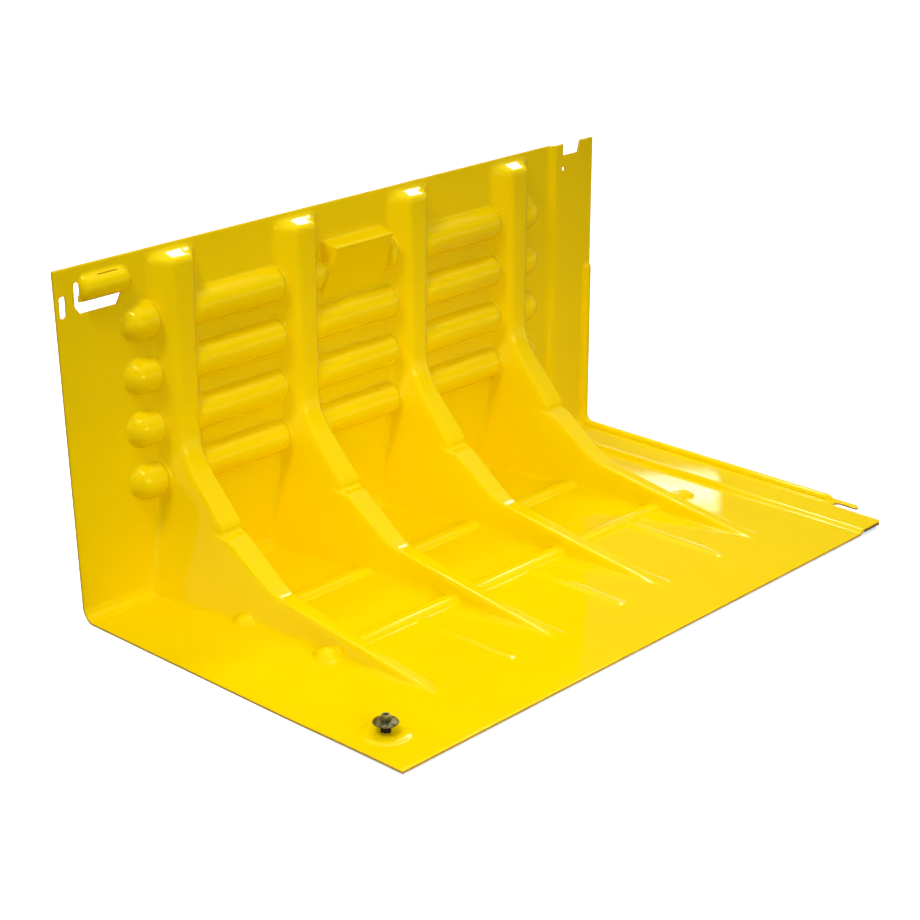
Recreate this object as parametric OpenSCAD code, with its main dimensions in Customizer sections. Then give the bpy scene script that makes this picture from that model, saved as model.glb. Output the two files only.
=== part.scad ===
// Free-standing flood barrier box: one L-shaped vacuum-formed sheet with four
// hollow gusset ribs, foam seals on the two joining edges and a locking stud.
// Millimetres. +X runs along the wall, +Z is up, and -Y is the side that faces
// the water: the base lies there, so that the water's weight holds it down.

/* [Sheet] */
// length of the unit along the wall, with the lap strip
body_l = 1112; // [1080:1:1150]
// reach of the base from the wall's front face
body_d = 645; // [620:1:680]
// height of the wall
wall_h = 528; // [524:1:545]
// thickness of the formed sheet
sheet_t = 3; // [2.5:0.1:3.5]
// inside radius of the bend between wall and base
bend_r = 20; // [15:1:25]
// how far the wall's left edge leans out at the top
edge_lean = 14; // [8:1:16]

/* [Gusset ribs] */
// centre of the first rib from the left edge of the base
rib_x = 190.5; // [185:0.5:196]
// spacing of the four ribs
rib_pitch = 238.7; // [232:0.1:240]
// how far the ribs stand off the wall
rib_dep = 27; // [26:0.5:30]
// half width of a rib's crest
crest_hw = 18; // [15:0.5:20]
// half width of a rib's root on the wall
root_hw = 42; // [38:0.5:44]
// half width of a rib's root in the corner of wall and base
corner_hw = 72; // [64:1:76]

/* [Corrugations] */
// radius of the horizontal half-round corrugations
cor_r = 27.5; // [25:0.5:29]
// height of the lowest row's centre
cor_z = 183; // [178:0.5:188]
// spacing of the rows
cor_pitch = 80.5; // [78:0.5:83]
// radius of the low cross ridges on the base
ridge_r = 16; // [14:0.5:18]
// radius of the low ridges along the depth
long_r = 10; // [8:0.5:11]

/* [Carrying pocket] */
// width of the hand pocket
pocket_w = 132; // [110:1:140]
// depth of the pocket's top shelf
pocket_dep = 29; // [24:1:32]

/* [Joining edge] */
// how far the lap strip steps out of the sheet's plane
lap_step = 8; // [7:0.5:9]
// start of the lap strip on the base
lap_x = 1035; // [1031:1:1037]
// radius of the stiffening bead on the lap's outer edge
bead_r = 9; // [7:0.5:10]
// width of the slot that takes the next unit's stud neck
slot_w = 15; // [14.4:0.1:16]

/* [Locking stud] */
// stud position from the left edge
stud_x = 57; // [54:1:62]
// stud distance from the wall
stud_y = 558; // [552:1:562]
// radius of the stud's head disc
disc_r = 17.5; // [15:0.5:20]
// radius of the neck bush
neck_r = 7; // [6:0.1:7]
// radius of the bolt's shank
bolt_r = 4; // [3:0.1:4.5]

/* [Hidden] */
$fn = 96;
t = sheet_t;
RIBS = [for (k = [0:3]) rib_x + k * rib_pitch];
ROWS = [for (k = [0:3]) cor_z + k * cor_pitch];
wall_lap0 = 1004;               // wall: flat until here
wall_lap1 = 1020;               // wall: lap strip from here
base_lap0 = lap_x - 7;          // base: flat until here
front_lip = 28;                 // raised front band above the front seal
lap_y = -lap_step;              // front face of the wall's lap strip
lap_z = lap_step + t;           // top face of the base's lap strip
bead_x = body_l - bead_r;
slot_x0 = 1086;
finger_y = stud_y + 30;
cap_z = wall_h - 8;             // top of the rib caps on the wall
hook_r = 19;
hook_z = 494;
hook_x0 = 28;
hook_x1 = 98;
row_a = 171;
row_b = 338;
dish_h = 5;
lap_g = 3;                      // foam thickness
seal_y0 = body_d - 10;
seal_w = 17;

C_SHELL = [0.93, 0.80, 0.05];
C_FOAM = [0.07, 0.07, 0.07];
C_STEEL = [0.62, 0.62, 0.60];
C_DARK = [0.25, 0.25, 0.22];

// extrudes a (y, z) outline along +x from x0 to x1
module along_x(x0, x1) {
    translate([x0, 0, 0]) rotate([90, 0, 90]) linear_extrude(x1 - x0) children();
}
// extrudes an (x, z) outline along -y from depth d0 to d1
module along_d(d0, d1) {
    translate([0, -d0, 0]) rotate([90, 0, 0]) linear_extrude(d1 - d0) children();
}
module box(x0, x1, y0, y1, z0, z1) {
    translate([x0, y0, z0]) cube([x1 - x0, y1 - y0, z1 - z0]);
}

// quarter ring of the bend, whose front faces are y = fy and z = fz
module bend2d(fy, fz) {
    intersection() {
        translate([fy - bend_r, fz + bend_r]) difference() {
            circle(bend_r + t);
            circle(bend_r);
        }
        translate([fy - bend_r, fz - t]) square([bend_r + t, bend_r + t]);
    }
}
// everything in front of the sheet's back faces y = by and z = bz
module front2d(by, bz) {
    r = bend_r + t;
    union() {
        translate([-900, bz]) square([900 + by - r, 900]);
        translate([-900, bz + r]) square([900 + by, 900]);
        translate([by - r, bz + r]) circle(r);
    }
}

// the plain sheet: wall, bend, base, both joggles and the lap strip
module sheet() {
    main_y = body_d - front_lip;
    along_x(0, base_lap0) bend2d(0, t);
    box(0, wall_lap0, 0, t, t + bend_r, wall_h);
    // the part of the wall that leans out past the base's left edge
    translate([0, t, 0]) along_d(0, t)
        polygon([[0, t + bend_r], [20, t + bend_r], [20, wall_h], [-edge_lean, wall_h]]);
    box(0, base_lap0, -main_y + 6, -bend_r, 0, t);
    // front band, raised to make room for the seal below it
    along_x(0, base_lap0) polygon([[-main_y + 6, 0], [-main_y, t], [-body_d, t],
        [-body_d, 2 * t], [-main_y, 2 * t], [-main_y + 6, t]]);
    // joggle of the wall
    translate([0, 0, t]) linear_extrude(wall_h - t)
        polygon([[wall_lap0, 0], [wall_lap1, lap_y], [wall_lap1, lap_y + t], [wall_lap0, t]]);
    // joggle of the base
    along_d(0, main_y) polygon([[base_lap0, 0], [lap_x, lap_step], [lap_x, lap_z],
        [base_lap0, t]]);
    along_d(main_y, body_d) polygon([[base_lap0, t], [lap_x, lap_step], [lap_x, lap_z],
        [base_lap0, 2 * t]]);
    // lap strip
    box(wall_lap1, body_l, lap_y, lap_y + t, lap_z + bend_r, wall_h);
    box(lap_x, body_l, -body_d, lap_y - bend_r, lap_step, lap_z);
    along_x(wall_lap1, body_l) bend2d(lap_y, lap_z);
    // closed corner between the two joggles
    along_x(wall_lap0 + 8, lap_x) intersection() {
        difference() {
            translate([lap_y - bend_r, 0]) square([bend_r + lap_step + t, lap_z + bend_r]);
            translate([lap_y - bend_r, lap_z + bend_r]) circle(bend_r);
        }
        front2d(t, 0);
    }
}

// side outline of a rib, o is the distance inside the outer face
module rib_side(o) {
    e = o > 0 ? 40 : -1;
    polygon([[e, -e], [e, cap_z - o + (o > 0 ? 14 : 0)], [0, cap_z - o],
        [-rib_dep + o, cap_z - 12 - o], [-rib_dep + o, 222 - 0.4 * o],
        [-109 + o, 128 - 0.6 * o], [-107 + 0.6 * o, 115 - 0.4 * o], [-124 + 0.6 * o, 111 - o],
        [-220 + 0.5 * o, 49 - o], [-523, t - o], [-523, -e]]);
}
// one rib about x = 0, o is the distance inside the outer face
module rib(o) {
    e = o > 0 ? 12 : -1;
    k = (root_hw - crest_hw) / rib_dep;
    r0 = root_hw - 1.34 * o;
    c1 = corner_hw - 1.05 * o;
    g = 0.314;                  // taper of the flanks away from the corner line
    // on the wall
    intersection() {
        translate([0, 0, 8]) linear_extrude(wall_h)
            polygon([[-r0 - k * e, e], [r0 + k * e, e], [r0 - k * (rib_dep - o), -rib_dep + o],
                [-r0 + k * (rib_dep - o), -rib_dep + o]]);
        along_x(-90, 90) rib_side(o);
    }
    // across the corner, its flanks taper away from the corner line
    intersection() {
        along_x(-90, 90) rib_side(o);
        rotate([132.04, 0, 0]) translate([0, 0, -400]) linear_extrude(800)
            polygon([[-c1 - 20 * g, -20], [c1 + 20 * g, -20], [c1 - 200 * g, 200],
                [-c1 + 200 * g, 200]]);
    }
    // along the base
    intersection() {
        along_x(-90, 90) rib_side(o);
        along_d(120, 523 - o) polygon([[-21 + o - e / 4, -e], [21 - o + e / 4, -e], [13 - o, 60],
            [-13 + o, 60]]);
    }
}

// half-round with ball ends, from x0 to x1 at height z, on the plane y = t
module half_round(x0, x1, z, r, o) {
    translate([x0, t, z]) {
        if (x1 > x0) rotate([0, 90, 0]) cylinder(r = r - o, h = x1 - x0);
        sphere(r - o);
        translate([x1 - x0, 0, 0]) sphere(r - o);
    }
}
module corrugations(o) {
    for (z = ROWS) {
        half_round(RIBS[0] - 65, RIBS[0] - 48, z, cor_r, o);
        for (b = [0:2]) if (b != 1 || z < ROWS[3] - 1)
            half_round(RIBS[b] + 40, RIBS[b + 1] - 56, z, cor_r, o);
        half_round(RIBS[3] + 40, RIBS[3] + 40, z, cor_r, o);
    }
    // the top row's stubs beside the pocket
    half_round(RIBS[1] + 30, RIBS[1] + 30, ROWS[3], cor_r, o);
    half_round(RIBS[2] - 50, RIBS[2] - 48, ROWS[3], cor_r, o);
}
// low ridges on the base, sunk so that only their tops stand out
module base_ridges(o) {
    for (d = [row_a, row_b]) {
        translate([RIBS[0] - 22, -d, -t]) rotate([0, 90, 0])
            cylinder(r = ridge_r - o, h = RIBS[3] - RIBS[0] + 82);
        translate([RIBS[0] - 22, -d, -t]) sphere(ridge_r - o);
        translate([RIBS[3] + 60, -d, -t]) sphere(ridge_r - o);
    }
    for (k = [0:2]) translate([RIBS[k] + 142, 0, -t]) {
        translate([0, -row_b, 0]) rotate([90, 0, 0]) cylinder(r = long_r - o, h = 192);
        translate([0, -row_b - 192, 0]) sphere(long_r - o);
    }
}
module pocket(o) {
    x0 = (RIBS[1] + RIBS[2]) / 2 - pocket_w / 2 - 3;
    b = o > 0 ? 12 : 0;
    along_x(x0 + o, x0 + pocket_w - o) polygon([[b, 470 - o], [-pocket_dep + o, 466 - o],
        [-pocket_dep + o, 456], [0, 378 + 0.6 * o], [b, 378 + 0.6 * o]]);
}
module hook(o) {
    // closed by a flat wall at the left end
    translate([hook_x0 + o, t, hook_z]) rotate([0, 90, 0])
        cylinder(r = hook_r - o, h = hook_x1 - hook_x0 - o);
    translate([hook_x1, t, hook_z]) sphere(hook_r - o);
}
// stiffening bead on the outer edge of the lap strip
module bead(o) {
    r = bead_r - o;
    cy = lap_y + t - 1;
    cz = lap_step + 1;
    by = lap_y - bend_r;
    bz = lap_z + bend_r;
    translate([bead_x, cy, bz]) cylinder(r = r, h = 300 - bz);
    translate([bead_x, cy, 300]) sphere(r);
    translate([bead_x, by, bz]) rotate([90, 0, -90]) rotate([0, 0, 180])
        rotate_extrude(angle = 90) translate([bz - cz, 0]) circle(r);
    translate([bead_x, by, cz]) rotate([90, 0, 0]) cylinder(r = r, h = stud_y - 28 + by);
    translate([bead_x, -stud_y + 28, cz]) sphere(r);
}
module dish(o) {
    translate([stud_x, -stud_y, o > 0 ? -1 : 0])
        cylinder(r1 = 37 - o, r2 = 31 - o, h = dish_h + (o > 0 ? 1 : t));
}

// L-shaped opening that frees the hook's lower edge and its left end
module hook_slot() {
    translate([0, 20, 0]) along_d(0, 60) polygon([[20, 505], [20, 471], [28, 459],
        [92, 459], [101, 475], [28, 475], [28, 505]]);
    box(20, hook_x0, -40, 20, 478, 505);
}

// everything that stands out in front of the sheet, and the sheet itself
module outer_form() {
    sheet();
    for (x = RIBS) translate([x, 0, 0]) rib(0);
    corrugations(0);
    base_ridges(0);
    pocket(0);
    hook(0);
    dish(0);
    // the bead is cut to the lap strip's own back faces
    intersection() {
        bead(0);
        along_x(wall_lap1, body_l + 5) front2d(lap_y + t, lap_step);
    }
}
// the hollows behind the sheet, open to the back and to the ground
module formed_sheet() {
    difference() {
        difference() {
            difference() {
                outer_form();
                for (x = RIBS) translate([x, 0, 0]) rib(t);
            }
            corrugations(t);
        }
        base_ridges(t);
    }
}
// notch and ear in the top edge of the lap strip
module lap_notch() {
    translate([0, 20, 0]) along_d(0, 60) polygon([[lap_x + 1, wall_h - 19.7],
        [lap_x + 39, wall_h - 19.7], [lap_x + 48, wall_h + 2], [lap_x + 1, wall_h + 2]]);
}
// front slot for the next unit's stud, and the finger beside it
module stud_slot() {
    xf = slot_x0 + slot_w;
    translate([0, 0, -5]) linear_extrude(40) polygon([[slot_x0, -stud_y], [xf, -stud_y],
        [xf, -finger_y], [body_l - 5, -finger_y], [body_l, -finger_y + 6],
        [body_l + 9, -finger_y + 6], [body_l + 9, -body_d - 9], [slot_x0, -body_d - 9]]);
    translate([slot_x0 + slot_w / 2, -stud_y, -5]) cylinder(r = slot_w / 2, h = 40);
}
// oblong pin slot near the left edge
module pin_slot() {
    translate([0, 20, 474]) rotate([90, 0, 0]) {
        translate([0, 9, 0]) cylinder(r = 6, h = 60);
        translate([0, -9, 0]) cylinder(r = 6, h = 60);
        translate([-6, -9, 0]) cube([12, 18, 60]);
    }
}

module barrier_shell() {
    color(C_SHELL) difference() {
        intersection() {
            difference() {
                formed_sheet();
                pocket(t);
                hook(t);
                dish(t);
                bead(t);
            }
            along_x(-40, body_l + 20) front2d(t, 0);
        }
        hook_slot();
        // slit where the next unit's ear comes up behind the hook
        box(59, 92, -4, 1, 505, 520);
        pin_slot();
        lap_notch();
        translate([lap_x + 3, 20, 485.6]) rotate([90, 0, 0]) cylinder(r = 4, h = 60);
        stud_slot();
        translate([stud_x, -stud_y, -5]) cylinder(r = bolt_r + 0.3, h = 30);
    }
}

module front_seal() {
    color(C_FOAM) box(4, base_lap0 - 6, -seal_y0, -seal_y0 + seal_w, 0, t);
}
module base_lap_seal() {
    color(C_FOAM) box(lap_x + 6, slot_x0 - 4, -body_d + 1, lap_y - bend_r - 2,
        lap_step - lap_g, lap_step);
}
module wall_lap_seal() {
    color(C_FOAM) box(lap_x + 14, body_l - 22, lap_y + t, lap_y + t + lap_g,
        lap_z + bend_r + 3, 500);
}
module at_stud(z) {
    translate([stud_x, -stud_y, z]) children();
}
module stud_bolt() {
    color(C_STEEL) at_stud(0.6) {
        cylinder(r = 12, h = 2.2);
        cylinder(r = bolt_r, h = 31.4);
    }
}
module stud_backing_washer() {
    color(C_STEEL) at_stud(2.8) difference() {
        cylinder(r = 15, h = 2.2);
        translate([0, 0, -1]) cylinder(r = bolt_r, h = 5);
    }
}
module stud_neck() {
    color(C_FOAM) at_stud(dish_h + t) difference() {
        cylinder(r = neck_r, h = 12);
        translate([0, 0, -1]) cylinder(r = bolt_r, h = 15);
    }
}
module stud_disc() {
    color(C_DARK) at_stud(dish_h + t + 12) difference() {
        rotate_extrude() polygon([[0, 0], [disc_r - 3, 0], [disc_r - 0.6, 1], [disc_r, 2.2],
            [disc_r - 0.8, 3.3], [disc_r - 5, 4.6], [7.5, 5], [0, 5]]);
        translate([0, 0, -1]) cylinder(r = bolt_r, h = 8);
    }
}
module stud_locknut() {
    z0 = dish_h + t + 17;
    color(C_STEEL) at_stud(z0) difference() {
        union() {
            cylinder(r = 7.5, h = 5.4, $fn = 6);
            cylinder(r = 6.1, h = 7.6);
        }
        translate([0, 0, -1]) cylinder(r = bolt_r, h = 10);
        translate([0, 0, 5.2]) cylinder(r = 5, h = 1.8);
    }
}
module stud_nut_insert() {
    z0 = dish_h + t + 17 + 5.2;
    color(C_FOAM) at_stud(z0) difference() {
        cylinder(r = 5, h = 1.8);
        translate([0, 0, -1]) cylinder(r = bolt_r, h = 5);
    }
}

// the row's origin is the middle of the footprint, on the ground
module place() {
    translate([-(body_l - edge_lean) / 2, (body_d - t) / 2, 0]) children();
}

place() barrier_shell();
place() front_seal();
place() base_lap_seal();
place() wall_lap_seal();
place() stud_bolt();
place() stud_backing_washer();
place() stud_neck();
place() stud_disc();
place() stud_locknut();
place() stud_nut_insert();
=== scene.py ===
"""Look of the free-standing flood barrier box: a formed yellow sheet, foam seals and a locking stud.

Lengths are in metres, but the sheet's own sizes are in millimetres and are scaled by MM. The sheet is
one grid surface. Its columns run along X and its rows follow the profile from the wall's top edge,
round the bend and along the base to the front edge.
"""
import math

import bmesh
import bpy
import numpy as np
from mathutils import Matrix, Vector


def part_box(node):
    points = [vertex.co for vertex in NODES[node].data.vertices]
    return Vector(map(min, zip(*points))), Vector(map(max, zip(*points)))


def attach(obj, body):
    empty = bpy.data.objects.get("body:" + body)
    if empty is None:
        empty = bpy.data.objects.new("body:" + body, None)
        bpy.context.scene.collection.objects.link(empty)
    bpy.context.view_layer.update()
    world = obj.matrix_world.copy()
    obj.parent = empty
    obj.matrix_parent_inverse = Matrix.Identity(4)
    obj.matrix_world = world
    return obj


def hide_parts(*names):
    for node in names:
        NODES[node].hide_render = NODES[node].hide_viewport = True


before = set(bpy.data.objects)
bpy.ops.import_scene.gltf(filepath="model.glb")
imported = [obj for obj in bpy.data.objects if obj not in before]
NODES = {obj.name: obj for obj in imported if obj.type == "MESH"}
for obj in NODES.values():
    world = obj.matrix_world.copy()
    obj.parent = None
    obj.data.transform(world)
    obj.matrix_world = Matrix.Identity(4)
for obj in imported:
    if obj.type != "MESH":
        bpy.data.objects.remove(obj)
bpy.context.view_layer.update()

MM = 0.001
LO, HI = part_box("barrier_shell")

# Sizes of the sheet in millimetres, measured from the left edge of the base and the wall's front face.
T = 3.0                      # sheet thickness
LEAN = 14.0                  # the wall's left edge leans out by this at the top
ORIGIN = ((LO[0] / MM) + LEAN, (HI[1] / MM) - T, 0.0)
LENGTH = (HI[0] - LO[0]) / MM - LEAN
DEPTH = (HI[1] - LO[1]) / MM - T
HEIGHT = (HI[2] - LO[2]) / MM
BEND = 20.0
STEP = 8.0                   # the lap strip's offset
RIBS = [190.5 + 238.7 * k for k in range(4)]
ROWS = [183.0 + 80.5 * k for k in range(4)]
COR_R = 27.5
RIB_DEP = 27.0
RIDGE_ROWS = (171.0, 338.0)
STUD = (57.0, -558.0)
HOOK_Z, HOOK_R, HOOK_X = 494.0, 19.0, (28.0, 98.0)
POCKET = (480.8, 612.8, 378.0, 470.0, 29.0)     # left, right, bottom, top, depth
WALL_JOGGLE = (1006.0, 1018.0)                  # start and end of the lap strip's offset
BASE_JOGGLE = (1028.0, 1035.0)
FRONT_RISE = (350.0, 616.0)  # the base rises over the front seal between these depths
WALL_FILLET = 6.0            # between the wall and what is formed in it
BASE_FILLET = 1.6            # between the base and its ridges
RIB_FILLET = 10.0            # along a rib's crest and root
RIM_START = 0.76             # share of a flank's height above which the notch shows
BEAD_R = 9.0
BEAD_TOP = 300.0
BEAD_FRONT = 530.0
LOW_RIDGE_R = 16.0
LOW_RIDGE_TOP = 8.5
DISH_R, DISH_SLOPE, DISH_H = 43.0, 15.0, 5.0
BOLT_HOLE_R = 4.3
SLOT_X, SLOT_R = 1093.5, 7.5
BLUNT = 0.62                 # how far a corrugation's right end bulges, in radii
BELOW = -13.0                # a height under the sheet's face, where nothing shows

# Heights, lengths and radii at which the grid has a line, so that edges stay crisp.
CAP_LINES = [508, 511, 514, 517, 520]
POCKET_LINES = [378, 380, 456, 458, 462, 464, 466, 467.5, 469, 470.5]
KNEE_LINES = [218, 222, 226]
NOTCH_LINES = list(range(105, 134, 2))
TOE_LINES = [-530, -523, -220, -200]
HOOK_LINES = [20, 28, 28.7, 29.5, 30.5, 32, 34, 36, 39, 92]
JOGGLE_LINES = [1004, 1008, 1012, 1016, 1020, 1024, 1028, 1031, 1035]
STUD_LINES = [s * r for s in (-1, 1) for r in (29, 31, 33, 35, 37)]

# The photograph's viewpoint, with the camera's sensor and lens in millimetres.
EYE = Vector((-1656.3 + ORIGIN[0], -2300.3 + ORIGIN[1], 1342.45)) * MM
AZIMUTH, ELEVATION = math.radians(46.77), math.radians(21.41)
SENSOR, LENS = 36.0, 83.441348


def smax(a, b, k):
    """Maximum of a and b with a fillet of size k."""
    h = np.clip(0.5 + 0.5 * (a - b) / k, 0.0, 1.0)
    return b + (a - b) * h + k * h * (1.0 - h)


def smin(a, b, k):
    """Minimum of a and b with a fillet of size k."""
    return -smax(-a, -b, k)


def ease(t):
    """0 to 1 with level ends."""
    t = np.clip(t, 0.0, 1.0)
    return t * t * (3.0 - 2.0 * t)


def ramp_up(t, k):
    """0 to 1 in a straight line, with rounded corners of size k."""
    return smin(smax(t, np.zeros_like(t), k), np.ones_like(t), k)


def spread(keys, lo, hi, step):
    """Grid lines from lo to hi that hit every key and are at most step apart."""
    keys = sorted({round(k, 3) for k in keys if lo <= k <= hi} | {lo, hi})
    keys = [k for i, k in enumerate(keys) if i == 0 or k - keys[i - 1] > 0.25]
    out = [keys[0]]
    for a, b in zip(keys, keys[1:]):
        n = max(1, math.ceil((b - a) / step))
        out += [a + (b - a) * (i + 1) / n for i in range(n)]
    return np.array(out)


def profile(rows, off):
    """Points (y, z) of the sheet's front face for each row, off is the lap strip's offset.

    Rows 0..1 run down the wall, 1..2 round the bend and 2..3 along the base.
    """
    y = np.empty_like(rows)
    z = np.empty_like(rows)
    zb = T + off + BEND
    yb = -off - BEND
    wall, bend, base = rows <= 1, (rows > 1) & (rows < 2), rows >= 2
    y[wall] = -off
    z[wall] = HEIGHT + (zb - HEIGHT) * rows[wall]
    a = (rows[bend] - 1) * math.pi / 2
    y[bend] = yb + BEND * np.cos(a)
    z[bend] = zb - BEND * np.sin(a)
    y[base] = yb + (-DEPTH - yb) * (rows[base] - 2)
    z[base] = T + off
    return y, z


def row_of(z=None, y=None):
    """Row value of a height on the wall or of a distance along the base."""
    if z is not None:
        return (HEIGHT - z) / (HEIGHT - T - BEND)
    return 2 + (-BEND - y) / (DEPTH - BEND)


def sheet_rows():
    """Row values of the grid, closer together where the sheet's shape changes quickly."""
    keys = CAP_LINES + POCKET_LINES + KNEE_LINES + NOTCH_LINES
    for zc in ROWS + [HOOK_Z]:
        r = HOOK_R if zc == HOOK_Z else COR_R
        for a in range(0, 181, 9):
            keys.append(zc + (r - 0.2) * math.cos(math.radians(a)))
    zs = spread([k for k in keys if k > T + BEND], T + BEND, HEIGHT, 3.2)[::-1]
    wall = [row_of(z=v) for v in zs]
    bend = [1 + i / 12 for i in range(1, 12)]
    keys = TOE_LINES + [STUD[1] + d for d in STUD_LINES]
    for yc in RIDGE_ROWS:
        for a in range(0, 181, 12):
            keys.append(-yc + 15.4 * math.cos(math.radians(a)))
    ys = spread(keys, -DEPTH, -BEND, 3.6)[::-1]
    base = [row_of(y=v) for v in ys]
    return np.array(wall + bend + base)


def sheet_columns():
    """Column positions of the grid along the wall."""
    keys = HOOK_LINES + JOGGLE_LINES + [SLOT_X - SLOT_R, SLOT_X + SLOT_R]
    keys += [STUD[0] + d for d in STUD_LINES]
    for c in RIBS:
        keys += list(np.arange(c - 76, c + 77, 2.4))
        keys += [c + s * w for s in (-1, 1) for w in (15, 18, 21, 24, 42)]
    keys += [LENGTH - BEAD_R + BEAD_R * math.cos(math.radians(a)) for a in range(0, 181, 15)]
    keys += [POCKET[0] + d for d in (0, 1.5, 3, 5, 7)] + [POCKET[1] - d for d in (0, 1.5, 3, 5, 7)]
    return spread(keys, 0.0, LENGTH, 3.6)


def lap_share(x, row):
    """0 on the sheet's main plane and 1 on the lap strip."""
    m = ease((row - 0.86) / 0.16)
    x0, x1 = (a + (b - a) * m for a, b in zip(WALL_JOGGLE, BASE_JOGGLE))
    return ramp_up((x - x0) / (x1 - x0), 0.25)


def rounded_path(points, cuts, u):
    """Points of a polyline at arc lengths u, its corner i rounded over cuts[i] to each side."""
    p = np.array(points, float)
    seg = np.hypot(*np.diff(p, axis=0).T)
    at = np.concatenate([[0], np.cumsum(seg)])
    out = np.stack([np.interp(u, at, p[:, k]) for k in range(2)], -1)
    for i in range(1, len(p) - 1):
        c = min(cuts[i], 0.49 * seg[i - 1], 0.49 * seg[i])
        v = np.clip((u - at[i] + c) / (2 * c), 0.0, 1.0)[..., None]
        a = p[i] + (p[i - 1] - p[i]) * c / seg[i - 1]
        b = p[i] + (p[i + 1] - p[i]) * c / seg[i]
        near = (v > 0) & (v < 1)
        out = np.where(near, (1 - v) ** 2 * a + 2 * v * (1 - v) * p[i] + v * v * b, out)
    return out[..., 0], out[..., 1], at


# A rib's side outline: (y, z), rounding to each side, and the row that it is drawn from.
CREST = [
    ((0, HEIGHT), 0, row_of(z=HEIGHT)), ((0, 520), 3, row_of(z=521)),
    ((-RIB_DEP, 509), 7, row_of(z=505)), ((-RIB_DEP, 216), 42, row_of(z=214)),
    ((-110, 125), 5, row_of(z=119)), ((-109, 114), 4, row_of(z=102)),
    ((-125, 109), 8, row_of(z=86)), ((-214, 49), 26, row_of(y=-196)),
    ((-523, T), 30, row_of(y=-523)), ((-DEPTH, T), 0, 3.0),
]


# The flanks' own knee, which replaces the corners of CREST around the notch.
KNEE = ((-118, 117), 57, row_of(z=102))
# A flank's half width at the corner of wall and base, its taper, and the taper's direction (y, z).
CORNER_HALF, TAPER, ACROSS = 73.0, 0.314, (-0.67, 0.743)


def flank_half(y, z):
    """Half width of a rib on the flat flank that crosses the corner of wall and base."""
    return CORNER_HALF - TAPER * (ACROSS[0] * y + ACROSS[1] * z)


def crest(row, notched):
    """The ribs' crest line (y, z), and the half widths of crest and root, for each row."""
    upper, knee, low = row_of(z=400), row_of(z=222), row_of(z=150)
    near, mid, far, front, toe = (row_of(y=-d) for d in (98, 222, 310, 400, 523))
    outline = CREST if notched else CREST[:4] + [KNEE] + CREST[7:]
    points, cuts, rows = zip(*outline)
    lengths = rounded_path(points, cuts, np.zeros(1))[2]
    y, z, _ = rounded_path(points, cuts, np.interp(row, rows, lengths))
    y0, z0 = profile(row, 0.0)
    top = np.interp(row, [0, upper, knee, low, 2, mid, toe], [20, 18, 15.5, 12, 12, 13.5, 9])
    root = np.interp(row, [0, low, near, mid, far, front, toe], [42, 42, 24, 24, 19, 17, 13])
    return y, z, smax(flank_half(y, z), top, 2.0), smax(flank_half(y0, z0), root, 6.0)


def capsule(px, pz, x0, x1, zc, r, left=1.0, right=1.0):
    """Height of a half-round over the sheet's face, its end caps left*r and right*r long."""
    dx = np.maximum(np.maximum((x0 - px) / left, (px - x1) / right), 0.0)
    d2 = dx * dx + (pz - zc) ** 2
    beyond = np.clip(np.sqrt(d2) - r, 0.0, 4.0)
    return np.sqrt(np.maximum(r * r - d2, 0.0)) - T - 2.5 * beyond


def dome(px, py, cx, cy, r, rise):
    """Height of a spherical cap of footprint radius r."""
    big = (r * r + rise * rise) / (2 * rise)
    d2 = (px - cx) ** 2 + (py - cy) ** 2
    return np.sqrt(np.maximum(big * big - d2, 0.0)) - big + rise


def wall_bumps(x, z):
    """Height over the wall's face of the corrugations, the hook and the hand pocket."""
    h = np.full_like(x, BELOW)
    spans = []
    for i, zc in enumerate(ROWS):
        spans.append((RIBS[0] - 65, RIBS[0] - 48, zc, 1.0, BLUNT))
        for b in range(3):
            if b != 1 or i < 3:
                spans.append((RIBS[b] + 40, RIBS[b + 1] - 48, zc, 1.0, BLUNT))
        spans.append((RIBS[3] + 40, RIBS[3] + 40, zc, 1.0, 0.9))
    spans += [(RIBS[1] + 30, RIBS[1] + 30, ROWS[3], 1.0, 1.0),
              (RIBS[2] - 49, RIBS[2] - 48, ROWS[3], 0.3, BLUNT)]
    for x0, x1, zc, left, right in spans:
        h = np.maximum(h, capsule(x, z, x0, x1, zc, COR_R, left, right))
    # the hook, closed at both ends
    tube = capsule(x, z, HOOK_X[0] + 8, HOOK_X[1], HOOK_Z, HOOK_R, 8 / HOOK_R, 1.0)
    h = np.maximum(h, tube)
    # the hand pocket
    x0, x1, z0, z1, d = POCKET
    p = smin((z - z0) * d / 78.0, (z1 - z) * 5.5, 3.0)
    p = smin(p, np.full_like(p, d), 4.0)
    p = smin(p, smin((x - x0) * 5.0, (x1 - x) * 5.0, 2.0), 3.0)
    bead = 2.6 * np.exp(-((z - 463.0) / 3.4) ** 2) * ease((x - x0 - 2) / 5) * ease((x1 - 2 - x) / 5)
    return np.maximum(h, np.where(p > 0, p + bead, np.maximum(2.5 * p, BELOW)))


def base_bumps(x, y):
    """Height over the base's face of the low ridges, their end domes and the stud's dish."""
    h = np.full_like(x, -3.0)
    for d in RIDGE_ROWS:
        ridge = capsule(x, y, RIBS[0] - 22, RIBS[3] + 60, -d, LOW_RIDGE_R) - T
        h = np.maximum(h, smin(ridge, np.full_like(ridge, LOW_RIDGE_TOP), 2.0))
        h = np.maximum(h, dome(x, y, RIBS[0] - 31, -d, 19.5, 13.0))
        h = np.maximum(h, dome(x, y, RIBS[3] + 62, -d, 16.0, 9.5))
    for c in RIBS[:3]:
        dy = np.maximum(np.maximum(-530 - y, y + RIDGE_ROWS[1]), 0.0)
        g = np.sqrt(np.maximum(100.0 - dy * dy - (x - c - 142) ** 2, 0.0)) - 6.0
        h = np.maximum(h, g)
    dd = np.hypot(x - STUD[0], y - STUD[1])
    return np.maximum(h, DISH_H * ease((DISH_R - dd) / DISH_SLOPE) - 0.001)


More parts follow.
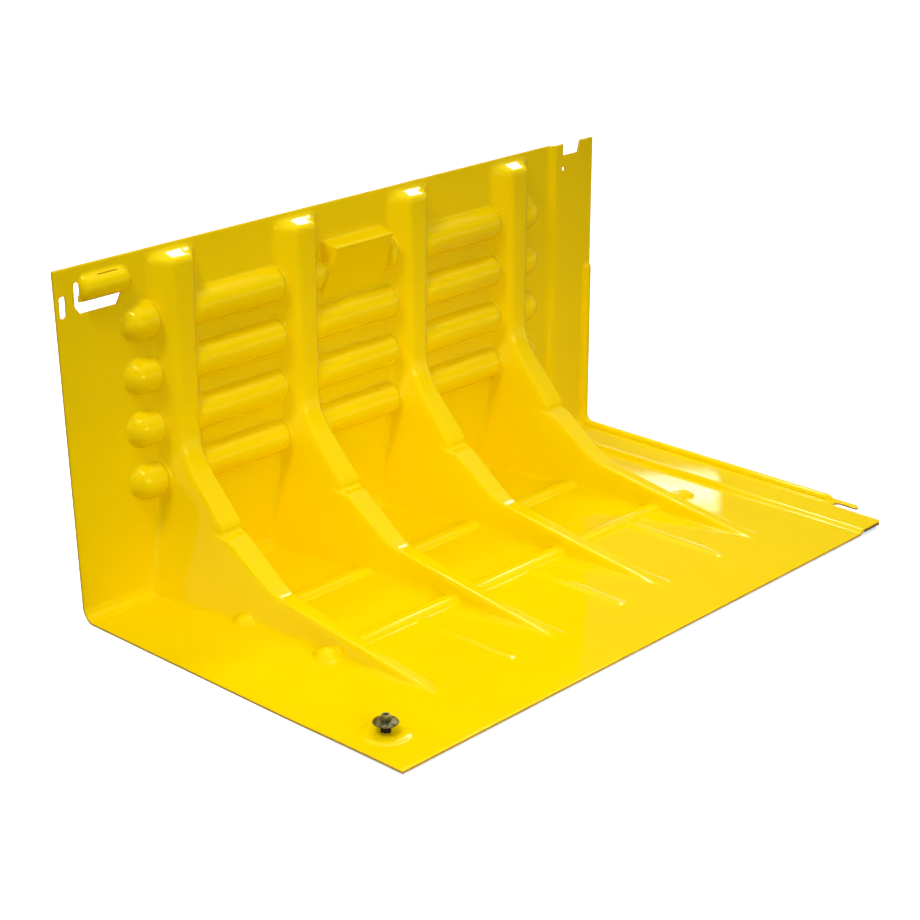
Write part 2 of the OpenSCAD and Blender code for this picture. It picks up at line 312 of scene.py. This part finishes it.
def sheet_points():
    """Grid of points (x, y, z) of the sheet's front face in millimetres."""
    rows, cols = sheet_rows(), sheet_columns()
    x, row = np.meshgrid(cols, rows)
    y0, z0 = profile(row.ravel(), 0.0)
    y1, z1 = profile(row.ravel(), STEP)
    y0, z0, y1, z1 = (a.reshape(row.shape) for a in (y0, z0, y1, z1))
    m = lap_share(x, row)
    by, bz = y0 + (y1 - y0) * m, z0 + (z1 - z0) * m
    # the front rises gently over the seal
    near, far = FRONT_RISE
    bz = bz + T * ease((-near - by) / (far - near)) * (1 - m)
    # the ribs
    cy, cz, cw, ww = crest(row, False)
    ny, nz, _, _ = crest(row, True)
    flank = np.maximum(np.hypot(cy - y0, cz - z0), 1.0)
    w = np.zeros_like(x)
    for c in RIBS:
        t = (ww - np.abs(x - c)) / (ww - cw)
        fil = np.clip(RIB_FILLET / np.hypot(flank, ww - cw), 0.03, 0.5)
        w = np.maximum(w, smin(smax(t, np.zeros_like(t), fil), np.ones_like(t), fil))
    w[w < 1e-6] = 0
    rim = ease((w - RIM_START) / (1 - RIM_START))
    y = by + (cy - y0) * w + (ny - cy) * rim
    z = bz + (cz - z0) * w + (nz - cz) * rim
    # half-rounds on the wall and ridges on the base
    wall = row < 1.0
    hw = wall_bumps(x, z)
    y = np.where(wall & (m < 0.5), -smax(-y, hw, WALL_FILLET), y)
    base = row > 2.0
    hb = base_bumps(x, y) + T
    z = np.where(base & (m < 0.5), smax(z, hb, BASE_FILLET), z)
    # the bead on the outer edge of the lap strip
    dx = x - (LENGTH - BEAD_R)
    run = np.where(row <= 1.5, np.maximum(z - BEAD_TOP, 0.0), np.maximum(-BEAD_FRONT - y, 0.0))
    hb = np.sqrt(np.maximum(BEAD_R ** 2 - dx * dx - run * run, 0.0)) - 1.0
    hb = smax(hb, np.zeros_like(hb), 1.5) * (m > 0.5)
    a = np.clip(row - 1.0, 0.0, 1.0) * math.pi / 2
    y, z = y - hb * np.cos(a), z + hb * np.sin(a)
    # the wall's left edge leans out
    out = LEAN * np.clip((z - T - BEND) / (HEIGHT - T - BEND), 0, 1) * (row < 1)
    x = x - out * np.clip(1 - x / 20.0, 0, 1)
    return x, y, z


def ring(cx, cy, r, a0=0.0, a1=360.0, n=20):
    """Points on an arc."""
    ends = np.linspace(math.radians(a0), math.radians(a1), n)
    return [(cx + r * math.cos(a), cy + r * math.sin(a)) for a in ends]


# Outlines cut through the sheet: the outline's second axis, the heights it applies to, and its
# points. In order: the hook's opening, pin slot, notch, pin hole, the hook's slit, the stud slot,
# the bolt's hole and the corner beside the stud slot.
CUTS = [
    ("z", (440, 520), ring(24, 501, 4, 0, 180, 7) + [(20, 471), (28, 459), (92, 459), (101, 475.3),
                                                     (28, 475.3)]),
    ("z", (440, 500), ring(0, 484, 6, 20, 160, 9) + ring(0, 464, 6, 200, 340, 9)),
    ("z", (480, 560), [(1036, 508.3), (1074, 508.3), (1084, 542), (1036, 542)]),
    ("z", (470, 500), ring(1038, 485.6, 4)[:-1]),
    ("y", (503, 520), [(58, -6.6), (92, -6.6), (92, -4.9), (58, -4.9)]),
    ("y", (-5, 40), ring(SLOT_X, STUD[1], SLOT_R, 180, 0, 12)
     + [(1101, -588), (1107, -588), (1112.1, -582), (1130, -582), (1130, -670), (1086, -670)]),
    ("y", (-5, 40), ring(*STUD, BOLT_HOLE_R)[:-1]),
    ("y", (-5, 40), [(1086.1, -640), (1086.1, -670), (1080, -670), (1080, -645)]),
]


def inside(px, py, outline):
    """Whether a point lies inside an outline."""
    hit = False
    for (xa, ya), (xb, yb) in zip(outline, outline[1:] + outline[:1]):
        if (ya > py) != (yb > py) and px < xa + (py - ya) * (xb - xa) / (yb - ya):
            hit = not hit
    return hit


def cut_out(bm, axis, heights, outline):
    """Cuts an outline of (x, axis) points in millimetres clean through the sheet."""
    k = 2 if axis == "z" else 1
    ox, ok = ORIGIN[0], ORIGIN[k]
    flat = [((x + ox) * MM, (v + ok) * MM) for x, v in outline]
    lo = [min(p[i] for p in flat) - 3 * MM for i in (0, 1)]
    hi = [max(p[i] for p in flat) + 3 * MM for i in (0, 1)]
    z0, z1 = heights[0] * MM, heights[1] * MM
    near = []
    for f in bm.faces:
        c = f.calc_center_median()
        if lo[0] < c.x < hi[0] and lo[1] < c[k] < hi[1] and z0 < c.z < z1:
            near.append(f)
    for (xa, va), (xb, vb) in zip(flat, flat[1:] + flat[:1]):
        co, no = Vector((xa, 0, 0)), Vector((vb - va, 0, 0))
        co[k], no[k] = va, xa - xb
        geom = near + list({e for f in near for e in f.edges}) + list({v for f in near for v in f.verts})
        done = bmesh.ops.bisect_plane(bm, geom=geom, dist=1e-6, plane_co=co, plane_no=no)
        near = [g for g in done["geom"] if isinstance(g, bmesh.types.BMFace)]
    gone = []
    for f in near:
        c = f.calc_center_median()
        if inside(c.x, c[k], flat):
            gone.append(f)
    bmesh.ops.delete(bm, geom=gone, context="FACES")


def build_sheet():
    """The formed sheet as one grid mesh with its openings, thickened towards the back."""
    x, y, z = sheet_points()
    nr, nc = x.shape
    pts = np.stack([x + ORIGIN[0], y + ORIGIN[1], z + ORIGIN[2]], -1).reshape(-1, 3) * MM
    idx = np.arange(nr * nc).reshape(nr, nc)
    quads = np.stack([idx[:-1, :-1], idx[1:, :-1], idx[1:, 1:], idx[:-1, 1:]], -1).reshape(-1, 4)
    mesh = bpy.data.meshes.new("formed_sheet")
    mesh.from_pydata(pts.tolist(), [], quads.tolist())
    bm = bmesh.new()
    bm.from_mesh(mesh)
    for axis, heights, outline in CUTS:
        cut_out(bm, axis, heights, outline)
    for f in bm.faces:
        f.smooth = True
    bm.to_mesh(mesh)
    bm.free()
    ob = bpy.data.objects.new("formed_sheet", mesh)
    bpy.context.scene.collection.objects.link(ob)
    solid = ob.modifiers.new("thickness", "SOLIDIFY")
    solid.thickness = T * MM
    solid.offset = -1.0
    solid.use_even_offset = False
    # the rims take the second material, which paints shade on the cut edges and slits
    solid.material_offset_rim = 1
    return ob


# ---------------------------------------------------------------- materials

def new_material(name):
    """An empty node material, its tree and its shader."""
    mat = bpy.data.materials.new(name)
    mat.use_nodes = True
    nt = mat.node_tree
    return mat, nt, nt.nodes["Principled BSDF"]


def node(nt, kind, **values):
    """A new node with these inputs or settings."""
    n = nt.nodes.new(kind)
    for key, v in values.items():
        if key in n.inputs:
            n.inputs[key].default_value = v
        else:
            setattr(n, key, v)
    return n


def noise(nt, coords, scale, detail=3.0):
    """A noise texture's value."""
    n = node(nt, "ShaderNodeTexNoise", Scale=scale, Detail=detail)
    nt.links.new(coords, n.inputs["Vector"])
    return n.outputs["Fac"]


def ramp(nt, fac, stops):
    """Colour of a ramp whose stops are (position, colour)."""
    n = nt.nodes.new("ShaderNodeValToRGB")
    while len(n.color_ramp.elements) < len(stops):
        n.color_ramp.elements.new(0.5)
    for e, (pos, col) in zip(n.color_ramp.elements, stops):
        e.position = pos
        e.color = (*col, 1.0)
    nt.links.new(fac, n.inputs["Fac"])
    return n.outputs["Color"]


def span(nt, fac, lo, hi, least=0.0):
    """Maps least..1 to lo..hi."""
    n = node(nt, "ShaderNodeMapRange")
    n.inputs["From Min"].default_value = least
    n.inputs["To Min"].default_value = lo
    n.inputs["To Max"].default_value = hi
    nt.links.new(fac, n.inputs["Value"])
    return n.outputs["Result"]


def bump(nt, height, strength, distance, normal=None):
    """Normal of a bump of this height, on top of another normal."""
    n = node(nt, "ShaderNodeBump", Strength=strength, Distance=distance)
    nt.links.new(height, n.inputs["Height"])
    if normal is not None:
        nt.links.new(normal, n.inputs["Normal"])
    return n.outputs["Normal"]


def coords(nt):
    """The object's own coordinates."""
    return nt.nodes.new("ShaderNodeTexCoord").outputs["Object"]


def surface(name, dark, light, rough, grain, wave=None, metallic=0.0, tint_scale=14.0, **sockets):
    """A procedural finish: blotchy colour, uneven roughness, and grain and waves as (scale, height)."""
    mat, nt, bsdf = new_material(name)
    at = coords(nt)
    nt.links.new(ramp(nt, noise(nt, at, tint_scale), [(0.3, dark), (0.7, light)]),
                 bsdf.inputs["Base Color"])
    nt.links.new(span(nt, noise(nt, at, tint_scale * 3, 5.0), *rough), bsdf.inputs["Roughness"])
    normal = None
    if wave:
        normal = bump(nt, noise(nt, at, wave[0], 1.5), 1.0, wave[1])
    normal = bump(nt, noise(nt, at, grain[0], 2.0), 1.0, grain[1], normal)
    nt.links.new(normal, bsdf.inputs["Normal"])
    bsdf.inputs["Metallic"].default_value = metallic
    for key, v in sockets.items():
        bsdf.inputs[key.replace("_", " ")].default_value = v
    return mat


def make_materials():
    """Every finish, by what it is for."""
    return {
        "sheet": surface("yellow_abs", (0.90, 0.635, 0.0), (0.94, 0.675, 0.0), (0.02, 0.045),
                         (850.0, 0.00002), wave=(7.0, 0.0003), tint_scale=5.0, Specular_IOR_Level=0.24,
                         Specular_Tint=(1.0, 0.85, 0.3, 1.0)),
        # painted shade: the sheet's cut edges, rims and slit faces are painted a darker orange-brown
        # than the sheet, for the shade along its edges
        "edge": surface("cut_edge_painted_shade", (0.62, 0.32, 0.0), (0.80, 0.46, 0.0), (0.45, 0.6),
                        (700.0, 0.0002), tint_scale=60.0),
        "foam": surface("black_foam", (0.010, 0.010, 0.010), (0.022, 0.022, 0.022), (0.8, 0.95),
                        (1600.0, 0.0004)),
        "steel": surface("aged_zinc", (0.18, 0.165, 0.05), (0.46, 0.43, 0.22), (0.26, 0.45),
                         (1200.0, 0.00006), metallic=0.9, tint_scale=160.0),
        "disc": surface("dark_disc", (0.03, 0.028, 0.008), (0.26, 0.245, 0.11), (0.28, 0.45),
                        (1500.0, 0.00005), metallic=0.9, tint_scale=240.0),
        # painted shade: the bolt is painted near-black, so its end in the nut's centre shows as a dark,
        # shaded hole
        "bolt": surface("bolt_painted_shade", (0.02, 0.019, 0.010), (0.06, 0.056, 0.03), (0.4, 0.6),
                        (1200.0, 0.00006), metallic=0.8, tint_scale=160.0),
        "plastic": surface("black_nylon", (0.008, 0.008, 0.006), (0.018, 0.018, 0.014),
                           (0.35, 0.5), (1400.0, 0.00005), tint_scale=120.0, Specular_IOR_Level=0.1),
    }


def paint(obj, mat):
    """Gives an object this finish only."""
    obj.data.materials.clear()
    obj.data.materials.append(mat)


def finish_nodes(mats):
    """Finishes and softened edges of the CAD nodes that are shown as they are."""
    looks = {
        "front_seal": "foam", "base_lap_seal": "foam", "wall_lap_seal": "foam",
        "stud_bolt": "bolt", "stud_backing_washer": "steel", "stud_neck": "plastic",
        "stud_disc": "disc", "stud_locknut": "steel", "stud_nut_insert": "plastic",
    }
    for name, look in looks.items():
        ob = NODES[name]
        paint(ob, mats[look])
        bev = ob.modifiers.new("edge", "BEVEL")
        bev.width = 0.0004
        bev.segments = 2
        bev.limit_method = "ANGLE"
        bev.angle_limit = math.radians(35)


# ---------------------------------------------------------------- studio

def build_stage():
    """A pale floor under a bright ceiling."""
    mat, nt, bsdf = new_material("studio_floor")
    nt.links.new(ramp(nt, noise(nt, coords(nt), 1.2), [(0.2, (0.94, 0.94, 0.94)),
                                                        (0.8, (0.97, 0.97, 0.97))]),
                 bsdf.inputs["Base Color"])
    bsdf.inputs["Roughness"].default_value = 0.9
    bsdf.inputs["Emission Color"].default_value = (1.0, 1.0, 1.0, 1.0)
    bsdf.inputs["Emission Strength"].default_value = 0.5
    bsdf.inputs["Specular IOR Level"].default_value = 0.1
    bpy.ops.mesh.primitive_plane_add(size=60, location=(0, 0, -0.0005))
    floor = bpy.context.object
    floor.name = "studio_floor"
    paint(floor, mat)
    # the floor is seen, but its light doesn't wash out the object's colour
    floor.visible_diffuse = False
    floor.visible_glossy = False
    bpy.context.scene.view_settings.view_transform = "Standard"
    world = bpy.data.worlds.new("studio")
    bpy.context.scene.world = world
    world.use_nodes = True
    # a bright ceiling over dimmer walls, and a bright band behind the floor's far edge
    wt = world.node_tree
    split = node(wt, "ShaderNodeSeparateXYZ")
    wt.links.new(node(wt, "ShaderNodeTexCoord").outputs["Generated"], split.inputs["Vector"])
    height = span(wt, split.outputs["Z"], 0.0, 1.0, least=-1.0)
    dim, bright = (0.17, 0.17, 0.17), (1.0, 1.0, 1.0)
    shade = ramp(wt, height, [(0.45, dim), (0.47, bright), (0.55, bright), (0.61, dim),
                              (0.75, dim), (0.875, bright)])
    bg = wt.nodes["Background"]
    wt.links.new(shade, bg.inputs["Color"])
    bg.inputs["Strength"].default_value = 0.94


def area_light(name, loc, target, size, power, spread=180):
    """A rectangular light at loc that faces target, its beam spread in degrees."""
    data = bpy.data.lights.new(name, "AREA")
    data.shape = "RECTANGLE"
    data.size, data.size_y = size
    data.energy = power
    data.spread = math.radians(spread)
    ob = bpy.data.objects.new(name, data)
    ob.location = loc
    ob.rotation_mode = "QUATERNION"
    ob.rotation_quaternion = (Vector(target) - Vector(loc)).to_track_quat("-Z", "Y")
    bpy.context.scene.collection.objects.link(ob)


def build_lights():
    """Broad fills, and small boxes for the highlights."""
    # a broad fill from the camera's side and above
    area_light("front_fill", (-1.5, -2.3, 1.9), (0, 0, 0.25), (2.0, 1.2), 5)
    # the same from behind
    area_light("rear_fill", (0.6, 2.5, 1.4), (0.0, 0.3, 0.25), (2.0, 1.2), 18)
    # low and close, it lights the bays from the front
    area_light("bay_fill", (-0.6, -1.7, 0.62), (0.05, 0.15, 0.03), (1.2, 0.4), 1.3, 44)
    # an overhead box, mirrored by the balls on the wall
    area_light("overhead_left", (-1.25, -0.05, 2.1), (-0.2, 0.2, 0.3), (0.36, 0.18), 14)
    # one small box for each rib, where the rib's cap mirrors the camera's sight line
    facing = Vector((0.0, -0.377, 0.926))
    for k, c in enumerate(RIBS):
        cap = Vector((c + ORIGIN[0], ORIGIN[1] - RIB_DEP / 2, HEIGHT - 13)) * MM
        sight = (EYE - cap).normalized()
        mirrored = 2 * sight.dot(facing) * facing - sight
        area_light(f"cap_box_{k + 1}", cap + 1.9 * mirrored, cap, (0.24, 0.15), 3.2)
    # low box behind the right end, mirrored by the base beyond the last rib
    area_light("rear_low", (1.74, 1.08, 0.69), (0.42, 0.03, 0.0), (0.34, 0.03), 0.42)


def build_camera():
    """The camera at the photograph's viewpoint."""
    data = bpy.data.cameras.new("camera")
    data.sensor_width = SENSOR
    data.lens = LENS
    data.clip_start, data.clip_end = 0.05, 60
    ob = bpy.data.objects.new("camera", data)
    flat = math.cos(ELEVATION)
    look = Vector((math.sin(AZIMUTH) * flat, math.cos(AZIMUTH) * flat, -math.sin(ELEVATION)))
    ob.location = EYE
    ob.rotation_mode = "QUATERNION"
    ob.rotation_quaternion = look.to_track_quat("-Z", "Y")
    bpy.context.scene.collection.objects.link(ob)
    bpy.context.scene.camera = ob


mats = make_materials()
shell = build_sheet()
paint(shell, mats["sheet"])
# the second material paints shade on the sheet's cut edges and slits
shell.data.materials.append(mats["edge"])
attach(shell, "root")
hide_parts("barrier_shell")
finish_nodes(mats)
build_stage()
build_lights()
build_camera()
